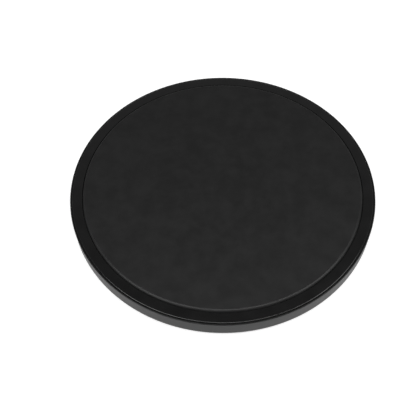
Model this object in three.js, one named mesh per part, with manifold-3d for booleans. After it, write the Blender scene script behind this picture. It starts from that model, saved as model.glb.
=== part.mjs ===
// A 12 inch practice pad. A moulded ABS tray holds an MDF core, a foam layer and a gum-rubber playing
// pad, and a top ring set into the tray's rim clamps the rubber. Screws come up through the tray's
// floor, which also carries rubber feet and a steel M8 bush for a stand.
// Millimetres, +Z up. The origin is on the floor, under the middle of the pad.

import * as THREE from "three";
import { mergeVertices } from "three/addons/utils/BufferGeometryUtils.js";
import Module from "manifold-3d";

// ---------------------------------------------------------------- driving dimensions

const OUTER_RADIUS = 152.4; // 12 in across the tray
const FACE_RADIUS = 140; // the rubber playing face
const TRAY_HEIGHT = 17.5; // from the tray's bottom edge to its rim
const RING_RISE = 0.5; // the top ring above the rim
const FACE_RISE = 1.5; // the playing face above the top ring
const FOOT_DROP = 2.5; // the feet below the tray
const CLEARANCE = 0.3; // between neighbouring pieces

const WALL = 2.9;
const RIM_WIDTH = 1.7; // the wall is thinner where the top ring sits in it
const RIM_EDGE_RADIUS = 0.5; // outer top edge of the wall
const BASE_EDGE_RADIUS = 1.8; // outer bottom edge of the wall
const DRAFT = 0.3; // the wall leans in by this much at the bottom, to leave its mould
const RING_THICKNESS = 2.5;
const RING_EDGE_RADIUS = 0.8; // outer top edge of the top ring
const CHAMFER = 0.3; // small broken edges

const RUBBER_THICKNESS = 6;
const FACE_EDGE_RADIUS = 3;
const FOAM_THICKNESS = 2;
const CORE_THICKNESS = 5;
const SKIRT_RADIUS = 148.8; // rubber flange and core board, inside the wall
const FOAM_RADIUS = 139;

const FLOOR_THICKNESS = 2.4; // tray floor
const FLOOR_RECESS = 0.7; // its underside above the tray's bottom edge
const FLOOR_RADIUS = 146.5; // of that underside
const RIB_WIDTH = 2;
const RING_RIB_RADII = [50, 100, 137];
const RELIEF_DEPTH = 0.8; // panels sunk in the floor's underside, between its spokes
const RELIEF_BANDS = [
  [30, 68],
  [88, 110],
];
const SPOKE_WIDTH = 14;

const AROUND = 72; // facets round the large rings
const SMALL_AROUND = 16; // facets round bosses, holes and feet
const SCREW_AROUND = 12;
const HALF_STEP = Math.PI / 6; // turns the screws to stand between the six feet
const OVERCUT = 1; // how far a cutting body reaches past the face it cuts
const ROOT = 0.5; // how far a rib or boss reaches into the plate it stands on

const CASE_SCREW = {
  count: 6,
  circle: 144.6,
  start: HALF_STEP,
  headRadius: 2.8,
  headHeight: 1.9,
  shankRadius: 1.3,
  length: 10,
};
const CORE_SCREW = { ...CASE_SCREW, count: 3, circle: 78, headRadius: 3.2, length: 6.6 };
const BUSH_SCREW = {
  count: 3,
  circle: 10.8,
  start: HALF_STEP,
  headRadius: 2.5,
  coneHeight: 1.2,
  sink: 0.1, // the head's face lies this far inside the flange
  shankRadius: 1.2,
  length: 8.6,
};
const SCREW_TIP = 1.2;
const PAN_HEAD = { crown: 0.72, shoulder: 0.45 }; // flat top and straight side, as shares of the head
const COUNTERBORE_DEPTH = 2.6;
const PILOT_STOP = 1; // blind holes end this far short of the far face
const BOSS_RADIUS = 3.6;
const CORE_PAD_RADIUS = 5.2;
const NOTCH_RADIUS = 4.3; // room for a boss in the skirt and the board
const CROSS_DEPTH = 1.1;
const CROSS_WIDTH = 0.8;
const CROSS_REACH = 0.6; // half an arm, as a share of the head's radius

const FOOT = {
  count: 6,
  circle: 126,
  radius: 9,
  edge: 1.5,
  pocket: 0.8,
  stemRadius: 2.7,
  barbRadius: 3.6,
  barbTip: 2.2,
  barbHeight: 2.2,
};

const BUSH = {
  flangeRadius: 16,
  flange: 1.6,
  barrelRadius: 5.8,
  boreRadius: 3.45,
  boreChamfer: 0.7,
  top: 1.3, // the barrel ends this far below the board's face
};
const HUB_RADIUS = 22;

// ---------------------------------------------------------------- heights, from the floor up

const trayBottom = FOOT_DROP;
const rimTop = trayBottom + TRAY_HEIGHT;
const ringTop = rimTop + RING_RISE;
const ringUnder = ringTop - RING_THICKNESS;
const ledge = ringUnder - CLEARANCE; // the step in the wall that the top ring sits over
const floorBottom = trayBottom + FLOOR_RECESS;
const floorTop = floorBottom + FLOOR_THICKNESS;
const faceTop = ringTop + FACE_RISE;
const rubberUnder = faceTop - RUBBER_THICKNESS;
const foamTop = rubberUnder - CLEARANCE;
const foamBottom = foamTop - FOAM_THICKNESS;
const coreTop = foamBottom - CLEARANCE;
const coreBottom = coreTop - CORE_THICKNESS;
const ribTop = coreBottom - CLEARANCE;
const headSeat = floorBottom + COUNTERBORE_DEPTH;
const flangeSeat = floorBottom + BUSH.flange + CLEARANCE;
const innerWall = OUTER_RADIUS - WALL;
const rimInner = OUTER_RADIUS - RIM_WIDTH;
const ringRadius = rimInner - CLEARANCE;
const mouth = FACE_RADIUS + CLEARANCE; // of the top ring, round the face

// ---------------------------------------------------------------- solids

const wasm = await Module();
wasm.setup();

const point = (r, z) => new THREE.Vector2(r, z);

// Points of a quarter circle that rounds an outer edge ending at radius r: its top, or its bottom.
function roundedEdge(r, z, radius, side, steps = 3) {
  const from = side === "top" ? 0 : -90;
  const height = side === "top" ? z - radius : z + radius;
  return Array.from({ length: steps + 1 }, (_, i) => {
    const a = THREE.MathUtils.degToRad(from + (90 * i) / steps);
    return point(r - radius + radius * Math.cos(a), height + radius * Math.sin(a));
  });
}

// A profile turned about Z. It runs anticlockwise with radius to the right and height upwards.
function revolve(profile, around) {
  const onAxis = profile[0].x === 0 && profile.at(-1).x === 0;
  const closed = onAxis ? profile : [...profile, profile[0]];
  return solid(new THREE.LatheGeometry(closed, around).rotateX(Math.PI / 2));
}

function solid(geometry) {
  geometry.deleteAttribute("normal");
  geometry.deleteAttribute("uv");
  const merged = mergeVertices(geometry, 1e-3);
  return new wasm.Manifold(
    new wasm.Mesh({
      numProp: 3,
      vertProperties: new Float32Array(merged.attributes.position.array),
      triVerts: new Uint32Array(merged.index.array),
    }),
  );
}

function geometryOf(body) {
  const { vertProperties, triVerts } = body.getMesh();
  const geometry = new THREE.BufferGeometry();
  geometry.setAttribute("position", new THREE.BufferAttribute(new Float32Array(vertProperties), 3));
  geometry.setIndex(new THREE.BufferAttribute(new Uint32Array(triVerts), 1));
  geometry.computeVertexNormals();
  return geometry;
}

// An upright cylinder from one height to another, or a ring if it has an inner radius.
function cylinder(radius, bottom, top, around = SMALL_AROUND, inner = 0) {
  const profile = [point(inner, bottom), point(radius, bottom), point(radius, top), point(inner, top)];
  return revolve(profile, around);
}

// An upright slab on the +X ray, from one radius to another.
function slab(from, to, width, bottom, top) {
  const box = new THREE.BoxGeometry(to - from, width, top - bottom);
  return solid(box.translate((from + to) / 2, 0, (bottom + top) / 2));
}

const moved = (body, x, z = 0) => body.translate([x, 0, z]);
const turned = (body, angle) => body.rotate([0, 0, THREE.MathUtils.radToDeg(angle)]);
const union = (bodies) => bodies.reduce((all, one) => all.add(one));

// A body on the +X ray, repeated round a circle.
function ringOf(body, { count, start = 0 }) {
  const step = (2 * Math.PI) / count;
  return union(Array.from({ length: count }, (_, i) => turned(body, start + i * step)));
}

// ---------------------------------------------------------------- sub-parts

// The flat ring round the face, with six screw bosses that reach down past the core board.
function topRing() {
  const section = [
    point(mouth, ringUnder),
    point(ringRadius, ringUnder),
    ...roundedEdge(ringRadius, ringTop, RING_EDGE_RADIUS, "top"),
    point(mouth + CHAMFER, ringTop),
    point(mouth, ringTop - CHAMFER),
  ];
  const boss = cylinder(BOSS_RADIUS, coreBottom, ringUnder + ROOT);
  const pilot = pilotHole(CASE_SCREW, coreBottom - OVERCUT, ringUnder - PILOT_STOP);
  return revolve(section, AROUND)
    .add(ringOf(moved(boss, CASE_SCREW.circle), CASE_SCREW))
    .subtract(ringOf(moved(pilot, CASE_SCREW.circle), CASE_SCREW));
}

function pilotHole(screw, bottom, top) {
  return cylinder(screw.shankRadius + CLEARANCE, bottom, top, SCREW_AROUND);
}

// A U-shaped notch that lets a boss of the top ring through the rim of a disc.
function bossNotches(bottom, top) {
  const round = moved(cylinder(NOTCH_RADIUS, bottom, top), CASE_SCREW.circle);
  const open = slab(CASE_SCREW.circle, OUTER_RADIUS, 2 * NOTCH_RADIUS, bottom, top);
  return ringOf(round.add(open), CASE_SCREW);
}

// Gum rubber: a raised face, a flange held under the top ring, and a shallow recess for the foam.
function playingPad() {
  const flangeTop = ringUnder - CLEARANCE;
  const recess = FOAM_RADIUS + CLEARANCE;
  const section = [
    point(0, rubberUnder),
    point(recess, rubberUnder),
    point(recess, foamBottom),
    point(SKIRT_RADIUS, foamBottom),
    point(SKIRT_RADIUS, flangeTop),
    point(FACE_RADIUS, flangeTop),
    ...roundedEdge(FACE_RADIUS, faceTop, FACE_EDGE_RADIUS, "top", 4),
    point(0, faceTop),
  ];
  return revolve(section, AROUND).subtract(
    bossNotches(foamBottom - OVERCUT, flangeTop + OVERCUT),
  );
}

function foamLayer() {
  return cylinder(FOAM_RADIUS, foamBottom, foamTop, AROUND);
}

// MDF disc with notches for the bosses, a hole for the bush and blind holes for the wood screws.
function coreBoard() {
  const bottom = coreBottom - OVERCUT;
  const bushHole = cylinder(BUSH.barrelRadius + CLEARANCE, bottom, coreTop + OVERCUT);
  const holes = [BUSH_SCREW, CORE_SCREW].map((screw) =>
    ringOf(moved(pilotHole(screw, bottom, coreTop - PILOT_STOP), screw.circle), screw),
  );
  return cylinder(SKIRT_RADIUS, coreBottom, coreTop, AROUND)
    .subtract(bossNotches(bottom, coreTop + OVERCUT))
    .subtract(bushHole)
    .subtract(union(holes));
}

// Ribs and pads that stand on the tray's floor and carry the core board.
function floorRibs() {
  const floor = floorTop - ROOT;
  const rings = RING_RIB_RADII.map((r) =>
    cylinder(r + RIB_WIDTH / 2, floor, ribTop, AROUND / 2, r - RIB_WIDTH / 2),
  );
  const spoke = slab(HUB_RADIUS - ROOT, CASE_SCREW.circle, RIB_WIDTH, floor, ribTop);
  const casePad = moved(cylinder(NOTCH_RADIUS, floor, ribTop), CASE_SCREW.circle);
  const corePad = moved(cylinder(CORE_PAD_RADIUS, floor, ribTop), CORE_SCREW.circle);
  const hub = cylinder(HUB_RADIUS, floor, ribTop, 2 * SMALL_AROUND);
  return union([
    ...rings,
    ringOf(spoke.add(casePad), CASE_SCREW),
    ringOf(corePad, CORE_SCREW),
    hub,
  ]);
}

// A counterbore and a clearance hole for a pan-head screw, on the +X ray.
function panScrewHole(screw) {
  const bore = cylinder(screw.headRadius + CLEARANCE, floorBottom - OVERCUT, headSeat);
  const hole = pilotHole(screw, floorBottom, ribTop + OVERCUT);
  return moved(bore.add(hole), screw.circle);
}

// A foot's pocket and its stem hole, on the +X ray.
function footHole() {
  const { radius, pocket, stemRadius, circle } = FOOT;
  const recess = cylinder(radius + CLEARANCE, floorBottom - OVERCUT, floorBottom + pocket);
  const hole = cylinder(stemRadius + CLEARANCE, floorBottom, ribTop + OVERCUT, SCREW_AROUND);
  return moved(recess.add(hole), circle);
}

// Shallow panels sunk in the floor's underside, with a spoke left standing at every foot.
function reliefPanels() {
  const bottom = floorBottom - OVERCUT;
  const top = floorBottom + RELIEF_DEPTH;
  const bands = RELIEF_BANDS.map(([inner, outer]) => cylinder(outer, bottom, top, AROUND, inner));
  const spoke = slab(0, OUTER_RADIUS, SPOKE_WIDTH, bottom - OVERCUT, top + OVERCUT);
  return union(bands).subtract(ringOf(spoke, FOOT));
}

// The tray's turned shape: floor, wall, and the ledge in it for the top ring.
function trayShell() {
  const section = [
    point(0, floorBottom),
    point(FLOOR_RADIUS, floorBottom),
    point(FLOOR_RADIUS + FLOOR_RECESS, trayBottom),
    ...roundedEdge(OUTER_RADIUS - DRAFT, trayBottom, BASE_EDGE_RADIUS, "bottom"),
    ...roundedEdge(OUTER_RADIUS, rimTop, RIM_EDGE_RADIUS, "top"),
    point(rimInner + CHAMFER, rimTop),
    point(rimInner, rimTop - CHAMFER),
    point(rimInner, ledge),
    point(innerWall, ledge),
    point(innerWall, floorTop),
    point(0, floorTop),
  ];
  return revolve(section, AROUND);
}

// The tray with its ribs, and the holes and pockets for the screws, feet and bush.
function baseTray() {
  const top = ribTop + OVERCUT;
  const wide = BUSH.flangeRadius + CLEARANCE;
  const flangePocket = cylinder(wide, floorBottom - OVERCUT, flangeSeat, 2 * SMALL_AROUND);
  const barrelHole = cylinder(BUSH.barrelRadius + CLEARANCE, floorBottom, top);
  const bushScrewHole = moved(pilotHole(BUSH_SCREW, floorBottom, top), BUSH_SCREW.circle);
  return trayShell()
    .add(floorRibs())
    .subtract(
      union([
        ringOf(panScrewHole(CASE_SCREW), CASE_SCREW),
        ringOf(panScrewHole(CORE_SCREW), CORE_SCREW),
        ringOf(footHole(), FOOT),
        ringOf(bushScrewHole, BUSH_SCREW),
        flangePocket,
        barrelHole,
        reliefPanels(),
      ]),
    );
}

// A conical seat and a hole for a countersunk screw, on the Z axis.
function countersink({ headRadius, shankRadius, coneHeight, sink }) {
  const wide = headRadius + CLEARANCE;
  const narrow = shankRadius + CLEARANCE;
  const section = [
    point(0, floorBottom - OVERCUT),
    point(wide, floorBottom - OVERCUT),
    point(wide, floorBottom + sink),
    point(narrow, floorBottom + sink + coneHeight),
    point(narrow, flangeSeat),
    point(0, flangeSeat),
  ];
  return revolve(section, SCREW_AROUND);
}

// Steel bush for an M8 stud: a round flange in the tray's floor and a barrel up into the core board.
function standBush() {
  const { flangeRadius, flange, barrelRadius, boreRadius, boreChamfer } = BUSH;
  const top = coreTop - BUSH.top;
  const section = [
    point(boreRadius + boreChamfer, floorBottom),
    point(flangeRadius - CHAMFER, floorBottom),
    point(flangeRadius, floorBottom + CHAMFER),
    point(flangeRadius, floorBottom + flange),
    point(barrelRadius, floorBottom + flange),
    point(barrelRadius, top),
    point(boreRadius, top),
    point(boreRadius, floorBottom + boreChamfer),
  ];
  const seat = moved(countersink(BUSH_SCREW), BUSH_SCREW.circle);
  return revolve(section, 2 * SMALL_AROUND).subtract(ringOf(seat, BUSH_SCREW));
}

// The cross recess of a screw head whose outer face is at the given height, head downwards.
function crossRecess(height, headRadius) {
  const reach = headRadius * CROSS_REACH;
  const arm = slab(-reach, reach, CROSS_WIDTH, height - OVERCUT, height + CROSS_DEPTH);
  return arm.add(turned(arm, Math.PI / 2));
}

// Self-tapping screw with a domed pan head, driven upwards; the head's seat is just under its bore.
function panScrew({ headRadius, headHeight, shankRadius, length }) {
  const seat = headSeat - CLEARANCE;
  const face = seat - headHeight;
  const section = [
    point(0, face),
    point(headRadius * PAN_HEAD.crown, face),
    point(headRadius, face + headHeight * PAN_HEAD.shoulder),
    point(headRadius, seat),
    point(shankRadius, seat),
    point(shankRadius, seat + length - SCREW_TIP),
    point(0, seat + length),
  ];
  return revolve(section, SCREW_AROUND).subtract(crossRecess(face, headRadius));
}

// Countersunk wood screw for the bush.
function flatScrew({ headRadius, coneHeight, sink, shankRadius, length }) {
  const face = floorBottom + sink;
  const section = [
    point(0, face),
    point(headRadius, face),
    point(shankRadius, face + coneHeight),
    point(shankRadius, face + length - SCREW_TIP),
    point(0, face + length),
  ];
  return revolve(section, SCREW_AROUND).subtract(crossRecess(face, headRadius));
}

// Rubber foot: a round pad in its pocket, and a stem with a barb that snaps through the floor.
function foot() {
  const { radius, edge, pocket, stemRadius, barbRadius, barbTip, barbHeight } = FOOT;
  const seat = floorBottom + pocket - CLEARANCE;
  const barbSeat = floorTop + CLEARANCE;
  const section = [
    point(0, 0),
    ...roundedEdge(radius, 0, edge, "bottom"),
    point(radius, seat),
    point(stemRadius, seat),
    point(stemRadius, barbSeat),
    point(barbRadius, barbSeat),
    point(barbTip, barbSeat + barbHeight),
    point(0, barbSeat + barbHeight),
  ];
  return revolve(section, SMALL_AROUND);
}

// ---------------------------------------------------------------- assembly

const finish = (color, roughness, metalness = 0) =>
  new THREE.MeshStandardMaterial({ color, roughness, metalness });

const FINISHES = {
  gumRubber: finish("#2a2a2b", 0.85),
  satinAbs: finish("#1b1b1c", 0.35),
  glossyAbs: finish("#1a1a1b", 0.2),
  foam: finish("#3a3a3c", 0.95),
  mdf: finish("#a98660", 0.8),
  footRubber: finish("#1d1d1d", 0.8),
  zincSteel: finish("#b9bcbf", 0.35, 1),
  blackSteel: finish("#2b2b2d", 0.4, 1),
};

const practicePad = new THREE.Group();

function place(name, body, material, parent = practicePad) {
  const mesh = new THREE.Mesh(geometryOf(body), material);
  mesh.name = name;
  parent.add(mesh);
  return mesh;
}

// Separate numbered copies round a circle: a turned group for each, with the piece out on its X axis.
function placeAround(name, body, material, { count, circle, start = 0 }) {
  for (let i = 0; i < count; i++) {
    const arm = new THREE.Group();
    arm.rotation.z = start + (i * 2 * Math.PI) / count;
    practicePad.add(arm);
    place(`${name}_${i + 1}`, body, material, arm).position.x = circle;
  }
}

place("base_tray", baseTray(), FINISHES.satinAbs);
place("top_ring", topRing(), FINISHES.glossyAbs);
place("playing_pad", playingPad(), FINISHES.gumRubber);
place("foam_layer", foamLayer(), FINISHES.foam);
place("core_board", coreBoard(), FINISHES.mdf);
place("stand_bush", standBush(), FINISHES.zincSteel);
placeAround("bush_screw", flatScrew(BUSH_SCREW), FINISHES.zincSteel, BUSH_SCREW);
placeAround("core_screw", panScrew(CORE_SCREW), FINISHES.blackSteel, CORE_SCREW);
placeAround("case_screw", panScrew(CASE_SCREW), FINISHES.blackSteel, CASE_SCREW);
placeAround("foot", foot(), FINISHES.footRubber, FOOT);

export default practicePad;
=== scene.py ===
# %% [markdown]
# # A 12 inch practice pad
# A drummer's practice pad is a raised gum-rubber face held in a black plastic tray by a flat top
# ring. Under the rubber lie a foam layer and a heavy board, and screws come up through the tray's
# floor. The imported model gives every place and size, so it is loaded first and never moved.

# %% Load the frame
import math

import bmesh
import bpy
from mathutils import Matrix, Vector


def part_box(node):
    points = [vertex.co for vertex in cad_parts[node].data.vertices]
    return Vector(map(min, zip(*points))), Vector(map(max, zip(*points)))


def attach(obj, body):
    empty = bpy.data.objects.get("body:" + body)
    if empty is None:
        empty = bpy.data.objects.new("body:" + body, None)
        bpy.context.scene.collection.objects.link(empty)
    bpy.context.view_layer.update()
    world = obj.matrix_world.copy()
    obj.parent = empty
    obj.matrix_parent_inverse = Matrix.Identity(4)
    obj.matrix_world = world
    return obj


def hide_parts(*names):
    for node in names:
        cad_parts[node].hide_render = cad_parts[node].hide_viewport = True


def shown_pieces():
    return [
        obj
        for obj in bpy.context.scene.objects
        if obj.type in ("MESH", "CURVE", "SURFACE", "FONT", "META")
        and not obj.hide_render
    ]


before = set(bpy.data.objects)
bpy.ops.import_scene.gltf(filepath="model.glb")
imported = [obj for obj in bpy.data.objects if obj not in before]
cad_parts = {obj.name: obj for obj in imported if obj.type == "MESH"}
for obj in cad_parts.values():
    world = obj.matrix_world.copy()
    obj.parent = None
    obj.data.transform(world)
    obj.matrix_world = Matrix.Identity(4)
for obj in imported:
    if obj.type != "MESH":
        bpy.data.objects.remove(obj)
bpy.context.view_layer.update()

MM = 0.001

# %% [markdown]
# ## Camera
# The viewer stands in front of the pad and looks down at it steeply. The camera could be typed in
# as a location and three angles, but one aim point, one elevation and one distance are easier to
# adjust. The slight roll is that of a camera that wasn't held quite level.

# %% Camera
LENS = 61.84  # focal length in millimetres
ELEVATION = math.radians(55.38)
ROLL = math.radians(-1.257)
DISTANCE = 702.64 * MM
AIM = Vector((-14.76, -26.24, 20.78)) * MM

forward = Vector((0, math.cos(ELEVATION), -math.sin(ELEVATION)))
right = Vector((1, 0, 0))
above = right.cross(forward)
camera_x = right * math.cos(ROLL) + above * math.sin(ROLL)
camera_y = above * math.cos(ROLL) - right * math.sin(ROLL)
turn = Matrix((camera_x, camera_y, -forward)).transposed().to_4x4()

camera = bpy.data.objects.new("camera", bpy.data.cameras.new("camera"))
camera.data.lens = LENS
camera.matrix_world = Matrix.Translation(AIM - forward * DISTANCE) @ turn
bpy.context.scene.collection.objects.link(camera)
bpy.context.scene.camera = camera
print("camera at", [round(x, 3) for x in camera.location])

# %% [markdown]
# ## Turning a piece
# Almost everything here is round, as if it came off a lathe. A piece could be spun from a drawn
# profile, but a circle that is extruded and scaled from corner to corner leaves clean loops of
# edges, and a loop is easy to find again by its radius and height when it has to be rounded.

# %% Helpers for turned pieces
AROUND = 256  # steps round a large piece
SNUG = 0.01 * MM  # two places closer than this are the same


def deselect():
    bpy.ops.object.select_all(action="DESELECT")


def extrude_to(corner, start):
    """Extrudes the selected circle at start to the next corner, both (radius, height)."""
    (radius, height), (old_radius, old_height) = corner, start
    move = {"value": (0, 0, height - old_height)}
    bpy.ops.mesh.extrude_edges_move(TRANSFORM_OT_translate=move)
    scale = radius / old_radius
    bpy.ops.transform.resize(value=(scale, scale, 1), center_override=(0, 0, height))


def lathe(name, corners, hollow=False, steps=AROUND):
    """A turned piece. A hollow one closes its corners into a ring, others get flat ends."""
    deselect()
    radius, height = corners[0]
    bpy.ops.mesh.primitive_circle_add(
        vertices=steps,
        radius=radius,
        location=(0, 0, height),
        fill_type="NOTHING" if hollow else "NGON",
    )
    bpy.ops.object.transform_apply()
    piece = bpy.context.object
    piece.name = piece.data.name = name
    bpy.ops.object.mode_set(mode="EDIT")
    bpy.ops.mesh.select_mode(type="EDGE")
    bpy.ops.mesh.select_all(action="SELECT")
    path = [*corners, corners[0]] if hollow else corners
    for start, corner in zip(path, path[1:]):
        extrude_to(corner, start)
    if not hollow:
        bpy.ops.mesh.edge_face_add()
    bpy.ops.mesh.select_all(action="SELECT")
    bpy.ops.mesh.remove_doubles(threshold=SNUG)
    bpy.ops.mesh.normals_make_consistent(inside=False)
    bpy.ops.object.mode_set(mode="OBJECT")
    return piece


# %% [markdown]
# ## Rounding an edge
# Moulded and turned edges are never quite sharp, and a rounded edge is what catches the light. A
# Bevel modifier would round every sharp edge by the same amount. Each edge here has its own radius,
# so one loop at a time is found by its place and bevelled in edit mode.

# %% Helper for rounded edges
def round_loop(piece, corner, size, segments=6):
    """Rounds the loop of edges at that radius and height."""
    radius, height = corner
    deselect()
    bpy.context.view_layer.objects.active = piece
    bpy.ops.object.mode_set(mode="EDIT")
    bpy.ops.mesh.select_mode(type="EDGE")
    bpy.ops.mesh.select_all(action="DESELECT")
    mesh = bmesh.from_edit_mesh(piece.data)
    for edge in mesh.edges:
        places = [(v.co.xy.length - radius, v.co.z - height) for v in edge.verts]
        edge.select_set(all(max(abs(r), abs(z)) < SNUG for r, z in places))
    bmesh.update_edit_mesh(piece.data)
    bpy.ops.mesh.bevel(offset=size, segments=segments, affect="EDGES")
    bpy.ops.object.mode_set(mode="OBJECT")


# %% [markdown]
# ## Cutting and joining
# Screw holes, pockets and ribs break the round shape. They could be extruded from its faces, but
# those would have to be divided to fit first. Solids of their own that are cut from it or joined to
# it stay exact, and a Boolean modifier does that as a maker would with a drill.

# %% Helpers for cutting and joining
HOLE_STEPS = 48


def drill(radius, bottom, top, at=0):
    """An upright round solid, out on the X axis."""
    tool = lathe("tool", [(radius, bottom), (radius, top)], steps=HOLE_STEPS)
    tool.data.transform(Matrix.Translation((at, 0, 0)))
    return tool


def bar(start, end, width, bottom, top):
    """An upright square-edged bar along the X axis."""
    deselect()
    size = Vector((end - start, width, top - bottom))
    middle = ((start + end) / 2, 0, (bottom + top) / 2)
    bpy.ops.mesh.primitive_cube_add(size=1, location=middle, scale=size)
    bpy.ops.object.transform_apply()
    return bpy.context.object


def combine(piece, tool, operation):
    """Cuts a tool from a piece or joins it on, and throws the tool away."""
    change = piece.modifiers.new("change", "BOOLEAN")
    change.operation, change.object, change.solver = operation, tool, "MANIFOLD"
    bpy.context.view_layer.objects.active = piece
    bpy.ops.object.modifier_apply(modifier=change.name)
    bpy.data.objects.remove(tool)


# %% [markdown]
# ## Copies round the pad
# Bosses, holes and screws repeat every 60 or 120 degrees. An Array modifier round an empty would
# copy them too, but all as one piece, and each screw is a piece of its own. So each is made once on
# the X axis, and every copy's mesh is turned to its place.

# %% Helpers for copies
HALF_STEP = math.radians(30)  # the screws stand between the feet


def copied(piece, name, angle):
    """A copy with its own mesh, turned about the pad's axis."""
    copy = piece.copy()
    copy.data = piece.data.copy()
    copy.name = copy.data.name = name
    copy.data.transform(Matrix.Rotation(angle, 4, "Z"))
    bpy.context.scene.collection.objects.link(copy)
    return copy


def joined(pieces):
    deselect()
    for piece in pieces:
        piece.select_set(True)
    bpy.context.view_layer.objects.active = pieces[0]
    bpy.ops.object.join()
    return pieces[0]


def all_round(piece, count=6, start=HALF_STEP):
    """One tool made of copies set evenly round the pad."""
    step = 2 * math.pi / count
    copies = [copied(piece, "tool", start + i * step) for i in range(count)]
    bpy.data.objects.remove(piece)
    return joined(copies)


# %% [markdown]
# ## Finishing a piece
# A smooth-shaded corner bends the light on the flat beside it too, and a wide flat ring then looks
# dished. More loops beside each edge would cure it, but weighted normals do it with none: the large
# faces win, so flats stay flat and only edges are round. Cuts leave a few slivers without any area
# behind, and those are dissolved first.

# %% Helper that finishes a piece
SMOOTH_BELOW = math.radians(32)
SLIVER = 0.001 * MM


def finished(piece, replaced):
    """Smooth shading with true flats, and the piece's place in the frame."""
    deselect()
    piece.select_set(True)
    bpy.context.view_layer.objects.active = piece
    bpy.ops.object.mode_set(mode="EDIT")
    bpy.ops.mesh.select_all(action="SELECT")
    bpy.ops.mesh.dissolve_degenerate(threshold=SLIVER)
    bpy.ops.object.mode_set(mode="OBJECT")
    bpy.ops.object.shade_smooth_by_angle(angle=SMOOTH_BELOW)
    weigh = piece.modifiers.new("weigh", "WEIGHTED_NORMAL")
    weigh.keep_sharp = True
    bpy.ops.object.modifier_apply(modifier=weigh.name)
    deselect()
    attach(piece, "root")
    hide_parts(replaced)
    print(f"{piece.name}: {len(piece.data.polygons)} faces, stands for {replaced}")
    return piece


# %% [markdown]
# ## Sizes
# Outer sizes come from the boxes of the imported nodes, so nothing has to be fitted. Thicknesses
# inside a piece can't be read from a box. They are named once, in millimetres as on the drawing:
# here where pieces share them, and otherwise with their own piece.

# %% Sizes
tray_low, tray_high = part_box("base_tray")
ring_low, ring_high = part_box("top_ring")
pad_low, pad_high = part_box("playing_pad")
foam_low, foam_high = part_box("foam_layer")
core_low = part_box("core_board")[0]
bush_low, bush_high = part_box("stand_bush")
foot_low, foot_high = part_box("foot_1")

CLEARANCE = 0.3 * MM
CHAMFER = 0.3 * MM
OVERCUT = 1 * MM  # how far a cutting tool stands out of what it cuts
ROOT = 0.5 * MM  # how far a joined solid is sunk in
RING_THICKNESS = 2.5 * MM
FLOOR = 2.4 * MM

outer = tray_high.x
ring_under = ring_high.z - RING_THICKNESS
floor_bottom = bush_low.z
floor_top = floor_bottom + FLOOR
rib_top = core_low.z - CLEARANCE
face_top = pad_high.z
print("tray radius in mm:", round(outer / MM, 2), "face top:", round(face_top / MM, 2))

# %% [markdown]
# ## Rubber playing pad
# The face is a slab of gum rubber with a rounded edge. Below the face it widens into a flange that
# the top ring holds down, with a U-shaped notch for each screw boss, and the foam lies in a recess
# under it. A plain disc would lack those steps, so the whole section is turned. The edge is rounded
# while its loop is whole, and the notches are cut last.

# %% Rubber playing pad, turned
FACE_RADIUS = 140 * MM
FACE_EDGE = 3 * MM
RUBBER = 6 * MM

flange_top = ring_under - CLEARANCE
recess = foam_high.x + CLEARANCE
rubber_under = face_top - RUBBER
playing_face = lathe(
    "playing_face",
    [
        (recess, rubber_under),
        (recess, pad_low.z),
        (pad_high.x, pad_low.z),
        (pad_high.x, flange_top),
        (FACE_RADIUS, flange_top),
        (FACE_RADIUS, face_top),
    ],
)
round_loop(playing_face, (FACE_RADIUS, face_top), FACE_EDGE, segments=10)
print("turned face:", len(playing_face.data.polygons), "faces")

# %% Rubber playing pad, notches
BOSS_CIRCLE = 144.6 * MM
NOTCH = 4.3 * MM


def boss_notches(bottom, top):
    """Room for the six bosses, open at the rim."""
    hole = drill(NOTCH, bottom, top, BOSS_CIRCLE)
    way_out = bar(BOSS_CIRCLE, outer, 2 * NOTCH, bottom, top)
    combine(hole, way_out, "UNION")
    return all_round(hole)


combine(playing_face, boss_notches(pad_low.z - OVERCUT, flange_top + ROOT), "DIFFERENCE")
finished(playing_face, "playing_pad")

# %% [markdown]
# ## Foam layer
# Closed-cell foam under the rubber softens the rebound. It is die cut from sheet, and the press
# leaves its edges slightly rolled over. Cloth simulation suits a cushion, but this layer is clamped
# flat, so a turned disc with soft edges has the right shape.

# %% Foam layer
ROLLED_EDGE = 0.6 * MM
foam_edges = [(foam_high.x, foam_low.z), (foam_high.x, foam_high.z)]
foam_disc = lathe("foam_disc", foam_edges)
for edge in foam_edges:
    round_loop(foam_disc, edge, ROLLED_EDGE, segments=4)
finished(foam_disc, "foam_layer")

# %% [markdown]
# ## Top ring
# The ring is a flat moulding with a fine rounded edge, set into the rim with a hairline gap. Six
# bosses under it take the case screws. They could be part of the ring's own mesh, but a bevel needs
# whole loops, so the plain ring is rounded first and the bosses are joined on afterwards.

# %% Top ring, turned
RING_EDGE = 0.8 * MM
MOUTH_EDGE = 0.15 * MM  # almost sharp, so that it catches no light beside the rubber

mouth = FACE_RADIUS + CLEARANCE
rim_ring = lathe(
    "rim_ring",
    [
        (mouth, ring_under),
        (ring_high.x, ring_under),
        (ring_high.x, ring_high.z),
        (mouth, ring_high.z),
    ],
    hollow=True,
)
round_loop(rim_ring, (ring_high.x, ring_high.z), RING_EDGE)
round_loop(rim_ring, (mouth, ring_high.z), MOUTH_EDGE, segments=2)
print("turned ring:", len(rim_ring.data.polygons), "faces")

# %% Top ring, bosses
BOSS = 3.6 * MM
PILOT = 1.6 * MM
PILOT_STOP = 1 * MM

bosses = all_round(drill(BOSS, ring_low.z, ring_under + ROOT, BOSS_CIRCLE))
combine(rim_ring, bosses, "UNION")
pilots = drill(PILOT, ring_low.z - OVERCUT, ring_under - PILOT_STOP, BOSS_CIRCLE)
combine(rim_ring, all_round(pilots), "DIFFERENCE")
finished(rim_ring, "top_ring")

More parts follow.
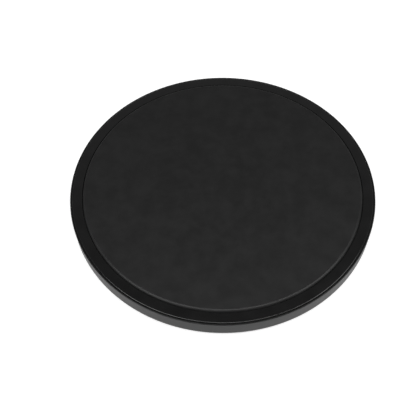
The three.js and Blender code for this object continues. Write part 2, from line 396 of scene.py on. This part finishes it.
# %% [markdown]
# ## Tray
# Wall and floor are one moulding. The wall leans in slightly towards the bottom, as it must to
# leave its mould, and its edges are rounded where a hand holds it. Wall, floor and the ring-shaped
# ribs inside could be joined from several rings. They share one axis, so one section is turned.

# %% Tray, section
WALL = 2.9 * MM
RIM = 1.7 * MM
DRAFT = 0.3 * MM
FLOOR_EDGE = 146.5 * MM
HUB = 22 * MM
RIB = 2 * MM
RIB_RADII = [137 * MM, 100 * MM, 50 * MM]
FLANGE = 1.6 * MM  # thickness of the stand bush's flange
BARREL = 5.8 * MM  # radius of the bush above it

rim_inner, wall_inner = outer - RIM, outer - WALL
ledge = ring_under - CLEARANCE
pocket_radius, pocket_top = bush_high.x + CLEARANCE, floor_bottom + FLANGE + CLEARANCE
hub_hole = BARREL + CLEARANCE
base_corner = (outer - DRAFT, tray_low.z)
rim_corner = (outer, tray_high.z)
rim_inner_corner = (rim_inner, tray_high.z)
rib_corners = [
    (radius + side * RIB / 2, height)
    for radius in RIB_RADII
    for side, height in ((1, floor_top), (1, rib_top), (-1, rib_top), (-1, floor_top))
]
print(len(RIB_RADII), "round ribs up to", round(rib_top / MM, 1), "mm")

# %% Tray, turned
BASE_EDGE = 1.8 * MM
RIM_EDGE = 0.5 * MM

tray = lathe(
    "tray",
    [
        (hub_hole, pocket_top),
        (pocket_radius, pocket_top),
        (pocket_radius, floor_bottom),
        (FLOOR_EDGE, floor_bottom),
        (FLOOR_EDGE + floor_bottom - tray_low.z, tray_low.z),
        base_corner,
        rim_corner,
        rim_inner_corner,
        (rim_inner, ledge),
        (wall_inner, ledge),
        (wall_inner, floor_top),
        *rib_corners,
        (HUB, floor_top),
        (HUB, rib_top),
        (hub_hole, rib_top),
    ],
    hollow=True,
)
round_loop(tray, base_corner, BASE_EDGE, segments=8)
round_loop(tray, rim_corner, RIM_EDGE)
round_loop(tray, rim_inner_corner, CHAMFER, segments=3)
print("turned tray:", len(tray.data.polygons), "faces")

# %% [markdown]
# ### Ribs and pads
# Spokes carry the board's weight out to the wall, and a pad stands round each screw. None of them
# follows the axis, so they can't be turned. They are bars and round solids that are joined on, sunk
# a little into the floor so that they are one with it.

# %% Tray, ribs and pads
CORE_CIRCLE = 78 * MM
CORE_PAD = 5.2 * MM

root = floor_top - ROOT
spokes = all_round(bar(HUB - ROOT, BOSS_CIRCLE, RIB, root, rib_top))
combine(tray, spokes, "UNION")
combine(tray, all_round(drill(NOTCH, root, rib_top, BOSS_CIRCLE)), "UNION")
combine(tray, all_round(drill(CORE_PAD, root, rib_top, CORE_CIRCLE), count=3), "UNION")
print("tray with ribs:", len(tray.data.polygons), "faces")

# %% [markdown]
# ### Panels under the floor
# Moulders break up a large floor with shallow panels to keep it from warping, with a spoke left
# standing at each foot. Insetting the floor's faces would need faces of just that outline. A turned
# band with the spokes cut out of it gives it directly, and is then cut from the tray.

# %% Tray, panels
PANEL_DEPTH = 0.8 * MM
PANEL_BANDS = [(30 * MM, 68 * MM), (88 * MM, 110 * MM)]
SPOKE = 14 * MM
below = floor_bottom - OVERCUT


def panel_band(inner, out):
    """A shallow ring with a gap for each spoke."""
    top = floor_bottom + PANEL_DEPTH
    corners = [(inner, below), (out, below), (out, top), (inner, top)]
    band = lathe("tool", corners, hollow=True)
    gap = bar(0, outer, SPOKE, below - OVERCUT, top + OVERCUT)
    combine(band, all_round(gap, start=0), "DIFFERENCE")
    return band


for inner, out in PANEL_BANDS:
    combine(tray, panel_band(inner, out), "DIFFERENCE")
print("tray with panels:", len(tray.data.polygons), "faces")

# %% [markdown]
# ### Holes in the floor
# Each screw has a counterbore that hides its head, and each foot a shallow pocket with a hole for
# its stem. They are drilled from below in one go for each kind, which is quicker than one by one
# and keeps them evenly spaced.

# %% Tray, holes
HEAD_SEAT = 2.6 * MM
FOOT_POCKET = 0.8 * MM
FOOT_STEM = 2.7 * MM
BUSH_SCREW_CIRCLE = 10.8 * MM

foot_circle = (foot_low.x + foot_high.x) / 2
foot_radius = foot_high.y
head_seat = floor_bottom + HEAD_SEAT
above_ribs = rib_top + OVERCUT


def cut_holes(radius, bottom, top, circle, count=6, start=HALF_STEP):
    """Cuts round holes from the tray, evenly on a circle."""
    combine(tray, all_round(drill(radius, bottom, top, circle), count, start), "DIFFERENCE")


case_head, core_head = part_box("case_screw_1"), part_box("core_screw_1")
for (low, high), circle, count in ((case_head, BOSS_CIRCLE, 6), (core_head, CORE_CIRCLE, 3)):
    head_radius = (high.x - low.x) / 2
    cut_holes(head_radius + CLEARANCE, below, head_seat, circle, count)
    cut_holes(PILOT, floor_bottom, above_ribs, circle, count)
cut_holes(foot_radius + CLEARANCE, below, floor_bottom + FOOT_POCKET, foot_circle, start=0)
cut_holes(FOOT_STEM + CLEARANCE, floor_bottom, above_ribs, foot_circle, start=0)
cut_holes(PILOT, floor_bottom, above_ribs, BUSH_SCREW_CIRCLE, count=3)
finished(tray, "base_tray")

# %% [markdown]
# ## Stand bush
# A steel bush takes the stud of a cymbal stand. Its flange lies in the tray's hub, and three
# countersunk screws hold it to the board. It is turned as the real one is, but without the thread
# in its bore. The seats of the screws could be bevelled round three holes, but a cone cuts hole and
# seat at once, as a countersink does.

# %% Stand bush, turned
BUSH_STEPS = 96
BORE = 3.45 * MM
BORE_CHAMFER = 0.7 * MM

threaded_bush = lathe(
    "threaded_bush",
    [
        (BORE + BORE_CHAMFER, bush_low.z),
        (bush_high.x, bush_low.z),
        (bush_high.x, bush_low.z + FLANGE),
        (BARREL, bush_low.z + FLANGE),
        (BARREL, bush_high.z),
        (BORE, bush_high.z),
        (BORE, bush_low.z + BORE_CHAMFER),
    ],
    hollow=True,
    steps=BUSH_STEPS,
)
round_loop(threaded_bush, (bush_high.x, bush_low.z), CHAMFER, segments=3)
print("turned bush:", len(threaded_bush.data.polygons), "faces")

# %% Stand bush, countersinks
BUSH_SCREW_HEAD = 2.5 * MM
BUSH_SCREW_SHANK = 1.2 * MM
BUSH_SCREW_CONE = 1.2 * MM
BUSH_SCREW_SINK = 0.1 * MM

cone_start = bush_low.z + BUSH_SCREW_SINK
countersink = lathe(
    "tool",
    [
        (BUSH_SCREW_HEAD + CLEARANCE, below),
        (BUSH_SCREW_HEAD + CLEARANCE, cone_start),
        (BUSH_SCREW_SHANK + CLEARANCE, cone_start + BUSH_SCREW_CONE),
        (BUSH_SCREW_SHANK + CLEARANCE, pocket_top),
    ],
    steps=HOLE_STEPS,
)
countersink.data.transform(Matrix.Translation((BUSH_SCREW_CIRCLE, 0, 0)))
combine(threaded_bush, all_round(countersink, count=3), "DIFFERENCE")
finished(threaded_bush, "stand_bush")

# %% [markdown]
# ## Screws
# Nine pan-head screws hold the tray and three countersunk ones hold the bush. Threads could be made
# with a Screw modifier, but they are buried in the board and the bosses, so the shanks are plain. A
# screw is turned, and a tapered cross is cut into its head. One of each kind is made on the pad's
# axis, then copied round the pad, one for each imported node.

# %% Cross recess
CROSS_WIDTH = 0.8 * MM
CROSS_DEPTH = 1.1 * MM
CROSS_TAPER = 0.45
CROSS_REACH = 0.6  # half an arm, as a share of the head's radius


def cut_cross(screw, face, head_radius):
    """A cross recess that narrows upwards, into the screw's downward face."""
    reach = head_radius * CROSS_REACH
    for angle in (0, math.radians(90)):
        arm = bar(-reach, reach, CROSS_WIDTH, face - CROSS_DEPTH, face + CROSS_DEPTH)
        for corner in arm.data.vertices:
            if corner.co.z > face:
                corner.co.xy *= CROSS_TAPER
        arm.data.transform(Matrix.Rotation(angle, 4, "Z"))
        combine(screw, arm, "DIFFERENCE")


# %% Turned screws
SCREW_STEPS = 32
SCREW_TIP = 1.2 * MM
TIP_END = 0.3 * MM
HEAD_HEIGHT = 1.9 * MM
PAN_SHANK = 1.3 * MM


def pan_screw(node):
    """A pan-head screw on the pad's axis, as long and wide as the node."""
    low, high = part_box(node)
    radius, seat = (high.x - low.x) / 2, low.z + HEAD_HEIGHT
    corners = [
        (radius, low.z),
        (radius, seat),
        (PAN_SHANK, seat),
        (PAN_SHANK, high.z - SCREW_TIP),
        (TIP_END, high.z),
    ]
    screw = lathe("tool", corners, steps=SCREW_STEPS)
    round_loop(screw, (radius, low.z), HEAD_HEIGHT / 2)
    cut_cross(screw, low.z, radius)
    return screw


def flat_screw(node):
    """A countersunk screw on the pad's axis, as long as the node."""
    low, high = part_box(node)
    corners = [
        (BUSH_SCREW_HEAD, low.z),
        (BUSH_SCREW_SHANK, low.z + BUSH_SCREW_CONE),
        (BUSH_SCREW_SHANK, high.z - SCREW_TIP),
        (TIP_END, high.z),
    ]
    screw = lathe("tool", corners, steps=SCREW_STEPS)
    cut_cross(screw, low.z, BUSH_SCREW_HEAD)
    return screw


# %% Screws in their places
def set_round(piece, name, node, count, circle, start=HALF_STEP):
    """Copies of a piece, out at its circle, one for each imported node."""
    piece.data.transform(Matrix.Translation((circle, 0, 0)))
    for i in range(count):
        one = copied(piece, f"{name}_{i + 1}", start + i * 2 * math.pi / count)
        finished(one, f"{node}_{i + 1}")
    bpy.data.objects.remove(piece)


case_screw, core_screw = pan_screw("case_screw_1"), pan_screw("core_screw_1")
bush_screw = flat_screw("bush_screw_1")
set_round(case_screw, "rim_fixing", "case_screw", 6, BOSS_CIRCLE)
set_round(core_screw, "board_fixing", "core_screw", 3, CORE_CIRCLE)
set_round(bush_screw, "bush_fixing", "bush_screw", 3, BUSH_SCREW_CIRCLE)

# %% [markdown]
# ## Feet
# Each foot is a moulded rubber button whose stem snaps through the floor. The barb above the floor
# is a cone, so that it goes in easily and stays in. Button and stem could be separate discs, but
# the real foot is one moulding, so one section is turned and the button's edges are rounded.

# %% Feet
FOOT_STEPS = 64
FOOT_EDGE = 1.5 * MM
BARB = 3.6 * MM
BARB_TIP = 2.2 * MM

foot_seat = floor_bottom + FOOT_POCKET - CLEARANCE
barb_seat = floor_top + CLEARANCE
button = lathe(
    "tool",
    [
        (foot_radius, foot_low.z),
        (foot_radius, foot_seat),
        (FOOT_STEM, foot_seat),
        (FOOT_STEM, barb_seat),
        (BARB, barb_seat),
        (BARB_TIP, foot_high.z),
    ],
    steps=FOOT_STEPS,
)
round_loop(button, (foot_radius, foot_low.z), FOOT_EDGE)
round_loop(button, (foot_radius, foot_seat), CHAMFER, segments=3)
set_round(button, "rubber_button", "foot", 6, foot_circle, start=0)

# %% [markdown]
# ## Materials
# Each finish starts from a Principled shader. Its plain values are set on the shader itself, and
# patterns go only to its colour, roughness and normal. Painted images could carry the patterns, but
# noise in the piece's own coordinates needs no unwrapping and shows no seam. Colours are given as
# they look on a screen and turned to linear light by one function.

# %% Helpers for nodes
def linear(screen_colour):
    """A screen colour such as #202020 in linear light, with alpha."""
    parts = [int(screen_colour[i : i + 2], 16) / 255 for i in (1, 3, 5)]
    light = [p / 12.92 if p <= 0.04045 else ((p + 0.055) / 1.055) ** 2.4 for p in parts]
    return (*light, 1)


def add(tree, kind, settings, links):
    """Adds a node. Settings name its sockets or properties. Links map a socket, by its name or
    number, to the (node, output) that feeds it."""
    node = tree.nodes.new("ShaderNode" + kind)
    for name, value in settings.items():
        if name in node.inputs:
            node.inputs[name].default_value = value
        else:
            setattr(node, name, value)
    for socket, (source, output) in links.items():
        tree.links.new(source.outputs[output], node.inputs[socket])
    return node


def per_metre(size):
    """A noise scale whose grains are about that size."""
    return 1 / size


# %% Helpers for finishes
def new_material(name, settings):
    """A material with a Principled shader, and the piece's own coordinates."""
    material = bpy.data.materials.new(name)
    material.use_nodes = True
    tree = material.node_tree
    shader = tree.nodes["Principled BSDF"]
    for socket, value in settings.items():
        shader.inputs[socket].default_value = value
    place = (add(tree, "TexCoord", {}, {}), "Object")
    return material, tree, shader, place


def surface(tree, shader, tone, grain, colours, roughness, height, span=(0.35, 0.65)):
    """A whole finish. Tone and grain are patterns, as (node, output). Colour and roughness follow
    the tone, the colour within a span of it. The grain raises the surface, in metres."""
    ramp = add(tree, "ValToRGB", {}, {"Fac": tone})
    for stop, at, colour in zip(ramp.color_ramp.elements, span, colours):
        stop.position, stop.color = at, linear(colour)
    smooth, rough = roughness
    sheen = add(tree, "MapRange", {"To Min": smooth, "To Max": rough}, {"Value": tone})
    relief = add(tree, "Bump", {"Strength": 1, "Distance": height}, {"Height": grain})
    tree.links.new(ramp.outputs["Color"], shader.inputs["Base Color"])
    tree.links.new(sheen.outputs["Result"], shader.inputs["Roughness"])
    tree.links.new(relief.outputs["Normal"], shader.inputs["Normal"])


def paint(material, *pieces):
    for piece in pieces:
        piece.data.materials.clear()
        piece.data.materials.append(material)
    print(f"{material.name}: {len(pieces)} pieces")


# %% [markdown]
# ### Gum rubber
# Sheet gum rubber, pressed against a fine cloth, is matte and almost black. Handling and bloom
# leave soft clouds a centimetre or two across, and the cloth leaves a grain that scatters every
# reflection. A woven pattern would be too regular at this distance, so the grain is noise.

# %% Gum rubber
CLOUD = 14 * MM
RUBBER_GRAIN = 0.9 * MM  # coarser than the real grain, so that it shows

gum, tree, shader, place = new_material("gum_rubber", {"IOR": 1.5, "Specular IOR Level": 0.25})
cloudy = {"Scale": per_metre(CLOUD), "Detail": 4, "Roughness": 0.6}
clouds = add(tree, "TexNoise", cloudy, {"Vector": place})
grainy = {"Scale": per_metre(RUBBER_GRAIN), "Detail": 2}
grain = add(tree, "TexNoise", grainy, {"Vector": place})
surface(
    tree,
    shader,
    tone=(clouds, "Fac"),
    grain=(grain, "Fac"),
    colours=("#151515", "#1a1a1a"),
    roughness=(0.42, 0.5),
    height=0.03 * MM,
)
paint(gum, playing_face)

# %% [markdown]
# ### Semi-gloss ABS
# The ring is injection-moulded ABS from a polished mould: black, fairly glossy, with the faint
# unevenness of a moulded sheet that makes a reflection waver. Bending the mesh would do that too,
# but it would spoil the ring's true edge, so a very low and wide bump does it.

# %% Semi-gloss ABS
WAVER = 18 * MM

semi_gloss, tree, shader, place = new_material("semi_gloss_abs", {"IOR": 1.5})
waver = add(tree, "TexNoise", {"Scale": per_metre(WAVER), "Detail": 3}, {"Vector": place})
surface(
    tree,
    shader,
    tone=(waver, "Fac"),
    grain=(waver, "Fac"),
    colours=("#0f0f0f", "#121212"),
    roughness=(0.18, 0.26),
    height=0.02 * MM,
)
paint(semi_gloss, rim_ring)

# %% [markdown]
# ### Satin ABS
# The tray's wall comes from a finely blasted mould, so it is satin: highlights are soft and wide.
# Roughness alone would give that, but too evenly, so the grain of the blasting varies it and raises
# the surface a little.

# %% Satin ABS
BLAST = 1.2 * MM  # coarser than the real grain, so that it shows

satin, tree, shader, place = new_material("satin_abs", {"IOR": 1.5, "Specular IOR Level": 0.3})
blast = add(tree, "TexNoise", {"Scale": per_metre(BLAST), "Detail": 3}, {"Vector": place})
surface(
    tree,
    shader,
    tone=(blast, "Fac"),
    grain=(blast, "Fac"),
    colours=("#0e0e0e", "#121212"),
    roughness=(0.32, 0.38),
    height=0.008 * MM,
)
paint(satin, tray)

# %% [markdown]
# ### Spark-eroded ABS
# A tray's floor usually has the coarser grain of a spark-eroded mould, which hides scratches. It is
# still the same moulding, so instead of a second piece, the floor's own faces, on both sides and in
# its pockets, get a second material.

# %% Spark-eroded ABS
EROSION = 0.8 * MM  # coarser than the real pits, so that they show

eroded, tree, shader, place = new_material("spark_eroded_abs", {"IOR": 1.5})
pitted = {"Scale": per_metre(EROSION), "Detail": 6, "Roughness": 0.7}
pits = add(tree, "TexNoise", pitted, {"Vector": place})
surface(
    tree,
    shader,
    tone=(pits, "Fac"),
    grain=(pits, "Fac"),
    colours=("#161617", "#1c1c1d"),
    roughness=(0.5, 0.65),
    height=0.06 * MM,
)
tray.data.materials.append(eroded)
floor_faces = [
    face
    for face in tray.data.polygons
    if Vector(face.center[:2]).length < FLOOR_EDGE and face.center.z < head_seat
]
for face in floor_faces:
    face.material_index = 1
print("spark-eroded faces:", len(floor_faces))

# %% [markdown]
# ### Closed-cell foam
# Where foam sheet is split, its surface cells are burst, so it is dull and finely pitted. Noise is
# too smooth for that. A Voronoi pattern has one round cell beside another, as foam does.

# %% Closed-cell foam
CELL = 0.7 * MM  # large for such a foam, so that it shows
FOAM_CLOUD = 12 * MM

foam, tree, shader, place = new_material(
    "closed_cell_foam", {"IOR": 1.45, "Specular IOR Level": 0.2}
)
cells = add(tree, "TexVoronoi", {"Scale": per_metre(CELL)}, {"Vector": place})
tone = add(tree, "TexNoise", {"Scale": per_metre(FOAM_CLOUD), "Detail": 3}, {"Vector": place})
surface(
    tree,
    shader,
    tone=(tone, "Fac"),
    grain=(cells, "Distance"),
    colours=("#353537", "#3f3f41"),
    roughness=(0.88, 0.98),
    height=0.15 * MM,
)
paint(foam, foam_disc)

# %% [markdown]
# ### Pressed fibreboard
# Fibreboard is wood fibre pressed with resin, pale brown with darker flecks and no grain direction.
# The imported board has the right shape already, so it stays and only gets its finish. Stretched
# noise would look like solid wood, so the noise is even and its detail runs down to fine fibres.

# %% Pressed fibreboard
FIBRE = 1.4 * MM

board, tree, shader, place = new_material(
    "pressed_fibreboard", {"IOR": 1.45, "Specular IOR Level": 0.25}
)
fibrous = {"Scale": per_metre(FIBRE), "Detail": 8, "Roughness": 0.75}
fibres = add(tree, "TexNoise", fibrous, {"Vector": place})
surface(
    tree,
    shader,
    tone=(fibres, "Fac"),
    grain=(fibres, "Fac"),
    colours=("#8f6c47", "#bd9870"),
    roughness=(0.75, 0.9),
    height=0.05 * MM,
    span=(0.3, 0.7),
)
paint(board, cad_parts["core_board"])

# %% [markdown]
# ### Moulded rubber
# The feet are plain moulded rubber, more matte than the face, with the faint grey bloom that comes
# out of rubber as it ages. Dust could be a layer of its own, but a bloom this fine is only a change
# of tone and roughness.

# %% Moulded rubber
BLOOM = 3 * MM


def named(start):
    """The pieces whose names start so."""
    return [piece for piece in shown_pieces() if piece.name.startswith(start)]


moulded, tree, shader, place = new_material(
    "moulded_rubber", {"IOR": 1.5, "Specular IOR Level": 0.35}
)
bloom = add(tree, "TexNoise", {"Scale": per_metre(BLOOM), "Detail": 5}, {"Vector": place})
surface(
    tree,
    shader,
    tone=(bloom, "Fac"),
    grain=(bloom, "Fac"),
    colours=("#1a1a1a", "#212121"),
    roughness=(0.7, 0.85),
    height=0.03 * MM,
)
paint(moulded, *named("rubber_button"))

# %% [markdown]
# ### Bright zinc
# The bush is turned, so rings from the tool's tip run round its axis under the zinc plating, which
# is slightly cloudy. Anisotropy would blur the rings into one streak. A ring-shaped wave keeps them
# apart. They are drawn a millimetre apart, about five times too coarse, so that they show at all.

# %% Bright zinc
TOOL_FEED = 1 * MM
WAVE_LENGTH = math.pi / 10  # of a wave texture at a scale of 1
ZINC_CLOUD = 4 * MM

zinc, tree, shader, place = new_material("bright_zinc", {"Metallic": 1})
rings = {"wave_type": "RINGS", "rings_direction": "Z", "Scale": WAVE_LENGTH / TOOL_FEED}
feed_marks = add(tree, "TexWave", rings, {"Vector": place})
plating = add(tree, "TexNoise", {"Scale": per_metre(ZINC_CLOUD), "Detail": 4}, {"Vector": place})
surface(
    tree,
    shader,
    tone=(plating, "Fac"),
    grain=(feed_marks, "Fac"),
    colours=("#b4b8bb", "#c9cccd"),
    roughness=(0.26, 0.38),
    height=0.01 * MM,
)
paint(zinc, threaded_bush, *named("bush_fixing"))

# %% [markdown]
# ### Black-oxide steel
# Black oxide is a very thin layer, so the screws still shine as metal, only darker. A black paint
# would hide the metal. A dark metallic colour that is slightly uneven keeps it.

# %% Black-oxide steel
OXIDE_CLOUD = 1.5 * MM

black_oxide, tree, shader, place = new_material("black_oxide_steel", {"Metallic": 1})
oxide = add(tree, "TexNoise", {"Scale": per_metre(OXIDE_CLOUD), "Detail": 5}, {"Vector": place})
surface(
    tree,
    shader,
    tone=(oxide, "Fac"),
    grain=(oxide, "Fac"),
    colours=("#29292b", "#3a3a3d"),
    roughness=(0.35, 0.5),
    height=0.01 * MM,
)
paint(black_oxide, *named("rim_fixing"), *named("board_fixing"))

# %% [markdown]
# ## Floor
# The pad stands on a plain white table top. Lights alone could make it white, but they would wash
# out the black plastic, so the table has a little light of its own. It grows to full white further
# out, so that a low view shows no grey horizon.

# %% Floor
FLOOR_SIZE = 6  # metres
FLOOR_GAP = 0.05 * MM  # keeps it from coinciding with the feet
GLOW, GLOW_SEEN, GLOW_FAR = 0.3, 0.62, 1  # on the pad, to the viewer, and to the viewer far out
FAR_FROM, FAR_TO = 0.5, 1.2  # metres from the pad's middle

deselect()
bpy.ops.mesh.primitive_plane_add(size=FLOOR_SIZE, location=(0, 0, -FLOOR_GAP))
table_top = bpy.context.object
table_top.name = "table_top"
white, tree, shader, place = new_material(
    "white_laminate",
    {
        "Base Color": (0.5, 0.5, 0.5, 1),
        "Roughness": 0.6,
        "Specular IOR Level": 0.2,
        "Emission Color": (1, 1, 1, 1),
    },
)
reach = add(tree, "VectorMath", {"operation": "LENGTH"}, {"Vector": place})
spread = {"From Min": FAR_FROM, "From Max": FAR_TO, "To Min": GLOW_SEEN, "To Max": GLOW_FAR}
seen_glow = add(tree, "MapRange", spread, {"Value": (reach, "Value")})
ray = add(tree, "LightPath", {}, {})
glow_links = {"Value": (ray, "Is Camera Ray"), "To Max": (seen_glow, "Result")}
glow = add(tree, "MapRange", {"To Min": GLOW}, glow_links)
tree.links.new(glow.outputs["Result"], shader.inputs["Emission Strength"])
paint(white, table_top)

# %% [markdown]
# The table is seen from above only. It could be hidden for a view from below, but a surface that
# is clear on its back needs no change from view to view, and the underside shows through it.

# %% One-sided floor
side = add(tree, "NewGeometry", {}, {})
clear = add(tree, "BsdfTransparent", {}, {})
sides = {0: (side, "Backfacing"), 1: (shader, 0), 2: (clear, 0)}
one_sided = add(tree, "MixShader", {}, sides)
tree.links.new(one_sided.outputs[0], tree.nodes["Material Output"].inputs["Surface"])
print("table top is", FLOOR_SIZE, "m wide and clear from below")

# %% [markdown]
# ## Light
# Two softboxes stand at the sides and a third hangs overhead. Small lamps would put hard points of
# light on the ring, and a studio lights a black object with large soft ones for that reason.

# %% Softboxes
LIGHTS = [
    # name, azimuth and elevation in degrees, distance, width and height in metres, watts
    ("right_softbox", 76, 50, 1.3, 0.7, 0.7, 8),
    ("left_softbox", -60, 50, 1.3, 0.7, 0.7, 8),
    ("overhead_softbox", 0, 76, 1.4, 0.9, 0.4, 9),
]


def toward(azimuth, elevation):
    """The direction of a light: azimuth 0 is the viewer's side, 90 the right."""
    a, e = math.radians(azimuth), math.radians(elevation)
    return Vector((math.sin(a) * math.cos(e), -math.cos(a) * math.cos(e), math.sin(e)))


for name, azimuth, elevation, distance, width, height, watts in LIGHTS:
    lamp = bpy.data.lights.new(name, "AREA")
    lamp.shape, lamp.size, lamp.size_y, lamp.energy = "RECTANGLE", width, height, watts
    stand = bpy.data.objects.new(name, lamp)
    way = toward(azimuth, elevation)
    aim = (-way).to_track_quat("-Z", "Y").to_matrix().to_4x4()
    stand.matrix_world = Matrix.Translation(way * distance) @ aim
    bpy.context.scene.collection.objects.link(stand)
print(len(LIGHTS), "softboxes")

# %% [markdown]
# ## Surroundings
# A flat glossy top shows what is above it. Plain white surroundings would turn it grey, so the room
# is pale at eye level and dark overhead. The viewer's own rays see plain white instead, which keeps
# the background clean.

# %% Surroundings
ROOM_STRENGTH = 0.5
# brightness of the room by the height of the direction looked in, 0 level and 1 straight up
ROOM = [(0, 1), (0.3, 0.5), (0.7, 0.52), (0.85, 0.1), (1, 0.06)]

room = bpy.data.worlds.new("room")
room.use_nodes = True
bpy.context.scene.world = room
tree = room.node_tree
tree.nodes.clear()
way = add(tree, "TexCoord", {}, {})
split = add(tree, "SeparateXYZ", {}, {"Vector": (way, "Generated")})
ramp = add(tree, "ValToRGB", {}, {"Fac": (split, "Z")})
stops = ramp.color_ramp.elements
while len(stops) < len(ROOM):
    stops.new(1)
for stop, (at, value) in zip(stops, ROOM):
    stop.position, stop.color = at, (value, value, value, 1)
walls = add(tree, "Background", {"Strength": ROOM_STRENGTH}, {"Color": (ramp, "Color")})
backdrop = add(tree, "Background", {"Color": (1, 1, 1, 1), "Strength": 1}, {})
ray = add(tree, "LightPath", {}, {})
choice = {0: (ray, "Is Camera Ray"), 1: (walls, 0), 2: (backdrop, 0)}
seen = add(tree, "MixShader", {}, choice)
add(tree, "OutputWorld", {}, {"Surface": (seen, 0)})
print("room brightness from", ROOM[0][1], "at eye level to", ROOM[-1][1], "overhead")

# %% [markdown]
# ## Colour
# Filmic colour management softens blacks and whites, which suits a room with bright windows. A
# black object on white should keep both, so the plain standard view is used.

# %% Colour
view = bpy.context.scene.view_settings
view.view_transform, view.look, view.exposure = "Standard", "None", 0
print("view:", view.view_transform)
